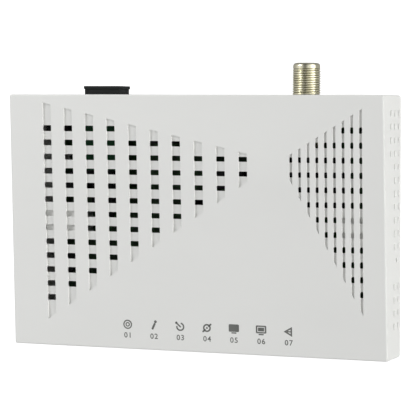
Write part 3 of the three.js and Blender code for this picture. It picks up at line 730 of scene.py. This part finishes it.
def rubber_foot(number, x, y):
    """A stuck-on foot with a rounded tread and a shallow dished face."""
    top = CASE_BOTTOM + GAP
    profile = [(0.4, 0.12), (2.6, 0.12), (3.2, 0.0), (4.1, 0.0), (4.4, 0.06), (4.6, 0.25), (4.9, top - 0.2),
               (4.85, top)]
    foot = mesh_object(f"foot_{number}", lathe(profile, upright(x, y), 64))
    return place_piece(foot, "terminal", MATERIALS["grey_rubber"], [f"rubber_foot_{number}"])


def pan_head_screw(name, node, x, y, face_z, tip_z, head_radius, head_height, shank_radius):
    """Pan head with a cross recess. The head lies at face_z and the shank runs up to tip_z."""
    along = lambda share: face_z + share
    profile = [(head_radius * 0.45, along(0)), (head_radius * 0.8, along(head_height * 0.12)),
               (head_radius * 0.96, along(head_height * 0.4)), (head_radius, along(head_height * 0.75)),
               (head_radius, along(head_height)), (shank_radius, along(head_height)),
               (shank_radius, along(tip_z - face_z - 1)), (shank_radius * 0.5, tip_z)]
    screw = mesh_object(name, lathe(profile, upright(x, y), 40))
    short, long = 0.45, 1.5
    for half_u, half_v in ((short, long), (long, short)):
        outline = [(-half_u, -half_v), (half_u, -half_v), (half_u, half_v), (-half_u, half_v)]
        combine(screw, [loft([[(x + u * size, y + v * size, along(d)) for u, v in outline]
                              for d, size in ((0.65, 0.55), (-0.2, 1.0))])])
    return place_piece(screw, "terminal", MATERIALS["sheet_steel"], [node])


# ------------------------------------------------------------------ rear panel
OPTICAL_HEIGHT = 9.4                              # of the housing itself; its feet reach lower
RESET_HOLE_RADIUS = 1.1


def panel_opening(outline, x, z, flare=PORT_EDGE):
    return column(outline, pocket(PANEL_INNER_Y - 1, PANEL_OUTER_Y, flare), rearward(x, z))


def rear_panel():
    low, high = box_mm("rear_panel")
    half = lambda z: side_x(PANEL_OUTER_Y, z) - WALL - GAP - 0.1
    corners = [(-half(low.z), low.z), (half(low.z), low.z), (half(high.z), high.z), (-half(high.z), high.z)]
    bm = hull([(x, y, z) for x, z in corners for y in (PANEL_INNER_Y, PANEL_OUTER_Y)])
    panel = mesh_object("port_panel", bevelled(bm, 0.15, 2))

    def opening_for(node, radius):
        inner, outer = box_mm(node)
        outline = rounded_rect(outer.x - inner.x + 2 * GAP, outer.z - inner.z + 2 * GAP, radius, 5)
        return panel_opening(outline, (inner.x + outer.x) / 2, (inner.z + outer.z) / 2)

    reset_low, reset_high = box_mm("reset_plunger")
    optical_low, optical_high = box_mm("optical_port_housing")
    optical = panel_opening(
        rounded_rect(optical_high.x - optical_low.x + 2 * GAP, OPTICAL_HEIGHT + 2 * GAP, 0.5),
        (optical_high.x + optical_low.x) / 2, optical_high.z - OPTICAL_HEIGHT / 2)
    coax = panel_opening(circle(COAX_RADIUS + GAP, 64), COAX_X, COAX_Z)
    reset = panel_opening(circle(RESET_HOLE_RADIUS, 32), (reset_low.x + reset_high.x) / 2,
                          (reset_low.z + reset_high.z) / 2, 0.3)
    combine(panel, [optical, opening_for("lan_jack_shield", 0.4), opening_for("power_jack_body", 0.4),
                    opening_for("power_button", 0.8), coax, reset])
    return place_piece(panel, "terminal", MATERIALS["panel_plastic"], ["rear_panel"])


# ------------------------------------------------------------------ signs on the front facet
SIGN_FIRST_X, SIGN_PITCH = -24.6, 9.77
SIGN_FROM_FRONT, LABEL_FROM_FRONT = 8.75, 4.85
NUMERAL_HEIGHT, NUMERAL_SPACING = 1.85, 1.2
NUMERAL_BOLDNESS = 0.03
TEXT_SIZE_PER_HEIGHT = 1.42                       # font size over the height of a numeral
INK_THICKNESS = 0.03


def ink_frame(x, from_front):
    """A frame on the front facet, centred from_front up the slope from the front edge."""
    front = ROOF_CORNERS[(-1, -1)]
    up = Vector((0, 1, facet_height((-1, -1), (1, -1))(0, front.y + 1) - front.z)).normalized()
    right = Vector((1, 0, 0))
    out = right.cross(up)
    centre = Vector((x, front.y, front.z)) + up * from_front
    return lambda u, v, d: centre + right * u + up * v + out * d


def ink_band(inner, outer, place, closed=True):
    """A strip between two matching outlines, as a thin closed solid."""
    bm = bmesh.new()
    layers = [[[bm.verts.new(place(u, v, d)) for u, v in line] for line in (inner, outer)]
              for d in (0.0, INK_THICKNESS)]
    count = len(inner)
    last = count if closed else count - 1
    for i in range(last):
        j = (i + 1) % count
        (a, b), (c, d) = layers
        bm.faces.new((a[i], a[j], b[j], b[i]))
        bm.faces.new((c[i], d[i], d[j], c[j]))
        bm.faces.new((a[i], c[i], c[j], a[j]))
        bm.faces.new((b[i], b[j], d[j], d[i]))
    if not closed:
        (a, b), (c, d) = layers
        bm.faces.new((a[0], b[0], d[0], c[0]))
        bm.faces.new((a[-1], c[-1], d[-1], b[-1]))
    return bm


def ink_patch(outline, place):
    return column(outline, [(0, 0), (INK_THICKNESS, 0)], place)


def arc(radius, start, end, steps=40, cx=0.0, cy=0.0):
    angles = [math.radians(start + (end - start) * i / steps) for i in range(steps + 1)]
    return [(cx + radius * math.cos(angle), cy + radius * math.sin(angle)) for angle in angles]


def ring(radius, width, place, start=0, end=360):
    full = end - start >= 360
    inner, outer = (arc(r, start, end) for r in (radius - width / 2, radius + width / 2))
    if full:
        inner, outer = inner[:-1], outer[:-1]
    return ink_band(inner, outer, place, full)


def stroke(start, end, width, place):
    """A straight bar with round ends."""
    a, b = Vector(start), Vector(end)
    heading = math.degrees(math.atan2(b.y - a.y, b.x - a.x))
    outline = arc(width / 2, heading - 90, heading + 90, 8, b.x, b.y)
    outline += arc(width / 2, heading + 90, heading + 270, 8, a.x, a.y)
    return ink_patch(outline, place)


def disc(cx, cy, radius, place):
    return ink_patch([(cx + u, cy + v) for u, v in circle(radius, 24)], place)


def shifted(outline, dx, dy):
    return [(u + dx, v + dy) for u, v in outline]


def sign_ring_dot(place):
    return [ring(1.42, 0.42, place), ring(0.62, 0.36, place)]


def sign_linked_dots(place):
    return [stroke((-0.5, -1.1), (0.3, 0.55), 0.72, place), disc(0.62, 1.36, 0.5, place)]


def sign_broken_ring(place):
    return [ring(1.25, 0.5, place, -190, 80), stroke((-1.35, 1.3), (0.05, 0.0), 0.5, place),
            disc(-1.4, 1.35, 0.42, place)]


def sign_orbit(place):
    return [ring(1.15, 0.52, place), stroke((-1.4, -1.3), (-0.7, -0.65), 0.6, place),
            stroke((0.7, 0.65), (1.4, 1.3), 0.6, place), disc(0.0, 0.0, 0.34, place)]


def sign_screen(place):
    return [ink_patch(shifted(rounded_rect(3.7, 2.6, 0.35), 0, 0.4), place),
            ink_patch(shifted(rounded_rect(1.8, 0.45, 0.12), 0, -1.3), place)]


def sign_framed_screen(place):
    outer, inner = rounded_rect(3.7, 2.7, 0.35), rounded_rect(2.7, 1.8, 0.2)
    return [ink_band(shifted(inner, 0, 0.35), shifted(outer, 0, 0.35), place),
            ink_patch(shifted(rounded_rect(2.2, 1.3, 0.15), 0, 0.35), place),
            ink_patch(shifted(rounded_rect(1.8, 0.45, 0.12), 0, -1.4), place)]


def sign_triangle(place):
    outline = [(-1.75, 0.0), (1.2, -1.7), (1.2, 1.7)]
    return [ink_band(grown(outline, -0.5), outline, place), stroke((-0.4, 0.0), (0.65, 0.0), 0.4, place)]


SIGNS = [sign_ring_dot, sign_linked_dots, sign_broken_ring, sign_orbit, sign_screen, sign_framed_screen,
         sign_triangle]


def printed(name, solids):
    """Gathers ink solids into one piece and lays it on the cover."""
    bm = bmesh.new()
    for solid in solids:
        merge(bm, solid)
    return place_piece(mesh_object(name, bm), "terminal", INK, sharp=20)


def numeral(text, height, place):
    """Generic channel numbers, as filled text outlines laid on the facet."""
    curve = bpy.data.curves.new("numeral", "FONT")
    curve.body = text
    curve.size = height * TEXT_SIZE_PER_HEIGHT
    curve.align_x = "CENTER"
    curve.align_y = "CENTER"
    curve.space_character = NUMERAL_SPACING
    curve.extrude = INK_THICKNESS / 2
    curve.offset = NUMERAL_BOLDNESS
    holder = bpy.data.objects.new("numeral", curve)
    bpy.context.scene.collection.objects.link(holder)
    depsgraph = bpy.context.evaluated_depsgraph_get()
    mesh = bpy.data.meshes.new_from_object(holder.evaluated_get(depsgraph))
    bpy.data.objects.remove(holder)
    bm = bmesh.new()
    bm.from_mesh(mesh)
    bpy.data.meshes.remove(mesh)
    for vert in bm.verts:
        vert.co = place(vert.co.x, vert.co.y, vert.co.z + INK_THICKNESS / 2)
    return bm


def indicator_signs():
    for i, draw in enumerate(SIGNS):
        x = SIGN_FIRST_X + i * SIGN_PITCH
        printed(f"sign_{i + 1}", draw(ink_frame(x, SIGN_FROM_FRONT)))
        label = numeral(f"{i + 1:02d}", NUMERAL_HEIGHT, ink_frame(x, LABEL_FROM_FRONT))
        printed(f"channel_number_{i + 1}", [label])


# ------------------------------------------------------------------ carried-over CAD nodes
NODE_EDGE, NODE_EDGE_SHARE = 0.15, 0.12           # millimetres, and at most this share of the least side


def dress_node(name, slot):
    """Gives a CAD node that keeps its own shape its slot's material and broken edges; the near-black
    blackened_metal slot is painted shade.
    """
    node = frame["nodes"][name]
    node.data.materials.clear()
    node.data.materials.append(MATERIALS[slot])
    size = min(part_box(name)[1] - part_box(name)[0])
    edges = node.modifiers.new("edges", "BEVEL")
    edges.width = min(NODE_EDGE * MM, NODE_EDGE_SHARE * size)
    edges.segments = 2
    edges.limit_method = "ANGLE"
    edges.angle_limit = math.radians(35)
    edges.harden_normals = True


def dress_carried_nodes():
    slot_of = {part["node"]: part["material_slot"] for part in frame["record"]["subparts"]}
    for name, node in frame["nodes"].items():
        if not node.hide_render:
            dress_node(name, slot_of[name])


# ------------------------------------------------------------------ studio
FLOOR_SIZE = 4.0                                  # metres, half the side of the floor
FLOOR_GLOW, FLOOR_WHITE = 0.10, 0.9               # what it gives off towards the object, and the camera
KEY_PLACE, KEY_TARGET = Vector((-0.60, 0.42, 0.62)), Vector((0, 0, 0.01))
KEY_SIZE, KEY_POWER = 0.5, 3.2
CAMERA_PLACE = (0.203006, 0.033940, 0.593194)
CAMERA_TURN = (-3.1375, 19.003, 0.2621)           # degrees
CAMERA_LENS, CAMERA_SENSOR = 151.855, 36          # millimetres
TENT = [  # from the left horizon over the top to the right horizon
    (0.00, (0.50, 0.50, 0.51)), (0.12, (0.70, 0.70, 0.71)), (0.22, (0.74, 0.75, 0.76)),
    (0.36, (0.62, 0.62, 0.63)), (0.45, (0.20, 0.20, 0.20)), (0.55, (0.18, 0.18, 0.18)),
    (0.62, (0.55, 0.55, 0.54)), (0.78, (1.00, 1.00, 0.99)), (1.00, (3.55, 3.55, 3.52)),
]


def floor():
    """A floor that looks plain white, but throws less light back than that on the object."""
    bm = bmesh.new()
    bmesh.ops.create_grid(bm, x_segments=1, y_segments=1, size=FLOOR_SIZE)
    mesh = bpy.data.meshes.new("studio_floor")
    bm.to_mesh(mesh)
    bm.free()
    plane = bpy.data.objects.new("studio_floor", mesh)
    bpy.context.scene.collection.objects.link(plane)
    material, tree, shader = node_material("studio_white")
    shader.inputs["Base Color"].default_value = (0.40, 0.40, 0.40, 1)
    shader.inputs["Roughness"].default_value = 0.9
    shader.inputs["Specular IOR Level"].default_value = 0.1
    shader.inputs["Emission Color"].default_value = (1, 1, 1, 1)
    seen = add_node(tree, "ShaderNodeLightPath").outputs["Is Camera Ray"]
    glow = add_node(tree, "ShaderNodeMapRange", {"Value": seen, "To Min": FLOOR_GLOW, "To Max": FLOOR_WHITE})
    tree.links.new(glow.outputs[0], shader.inputs["Emission Strength"])
    mesh.materials.append(material)


def world_light():
    """A soft tent with a dim band overhead and dim ends for bright metal to mirror, seen as plain white."""
    world = bpy.data.worlds.new("studio_tent")
    world.use_nodes = True
    bpy.context.scene.world = world
    tree = world.node_tree
    direction = add_node(tree, "ShaderNodeTexCoord").outputs["Generated"]
    parts = add_node(tree, "ShaderNodeSeparateXYZ", {"Vector": direction})
    angle = add_node(tree, "ShaderNodeMath", {0: parts.outputs["X"], 1: parts.outputs["Z"]},
                     operation="ARCTAN2")
    turned = add_node(tree, "ShaderNodeMapRange",
                      {"Value": angle.outputs[0], "From Min": -math.pi / 2, "From Max": math.pi / 2})
    tent = ramp(tree, turned.outputs[0], TENT)
    along = add_node(tree, "ShaderNodeMath", {0: parts.outputs["Y"]}, operation="ABSOLUTE")
    fade = add_node(tree, "ShaderNodeMapRange",
                    {"Value": along.outputs[0], "From Min": 0.5, "From Max": 0.9,
                     "To Min": 1.1, "To Max": 0.4})
    lighting = tree.nodes["Background"]
    tree.links.new(tent, lighting.inputs["Color"])
    tree.links.new(fade.outputs[0], lighting.inputs["Strength"])
    backdrop = add_node(tree, "ShaderNodeBackground", {"Color": (1.0, 1.0, 0.995, 1.0)})
    seen = add_node(tree, "ShaderNodeLightPath").outputs["Is Camera Ray"]
    sky = add_node(tree, "ShaderNodeMixShader", {0: seen, 1: lighting.outputs[0], 2: backdrop.outputs[0]})
    tree.links.new(sky.outputs[0], tree.nodes["World Output"].inputs["Surface"])


def key_light():
    data = bpy.data.lights.new("key", "AREA")
    data.shape = "DISK"
    data.size = KEY_SIZE
    data.energy = KEY_POWER
    lamp = bpy.data.objects.new("key", data)
    lamp.location = KEY_PLACE
    lamp.rotation_euler = (KEY_TARGET - KEY_PLACE).to_track_quat("-Z", "Y").to_euler()
    bpy.context.scene.collection.objects.link(lamp)


def camera():
    data = bpy.data.cameras.new("product_camera")
    data.sensor_width = CAMERA_SENSOR
    data.lens = CAMERA_LENS
    data.clip_start = 0.01
    lens = bpy.data.objects.new("product_camera", data)
    lens.location = CAMERA_PLACE
    lens.rotation_euler = tuple(math.radians(angle) for angle in CAMERA_TURN)
    bpy.context.scene.collection.objects.link(lens)
    bpy.context.scene.camera = lens


# ------------------------------------------------------------------ assembly
camera()
world_light()
key_light()
floor()
bpy.context.scene.view_settings.view_transform = "Standard"

top_cover()
base_tray()
rear_panel()
for index, (foot_x, foot_y) in enumerate(FEET):
    rubber_foot(index + 1, foot_x, foot_y)
for side_name, (pillar_x, _) in zip(("left", "right"), PILLARS):
    pan_head_screw(f"case_screw_{side_name}", f"cover_screw_{side_name}", pillar_x, PILLAR_Y,
                   CASE_BOTTOM - SCREW_PROUD, **COVER_SCREW)
coax_body()
dust_cap()
indicator_signs()
dress_carried_nodes()
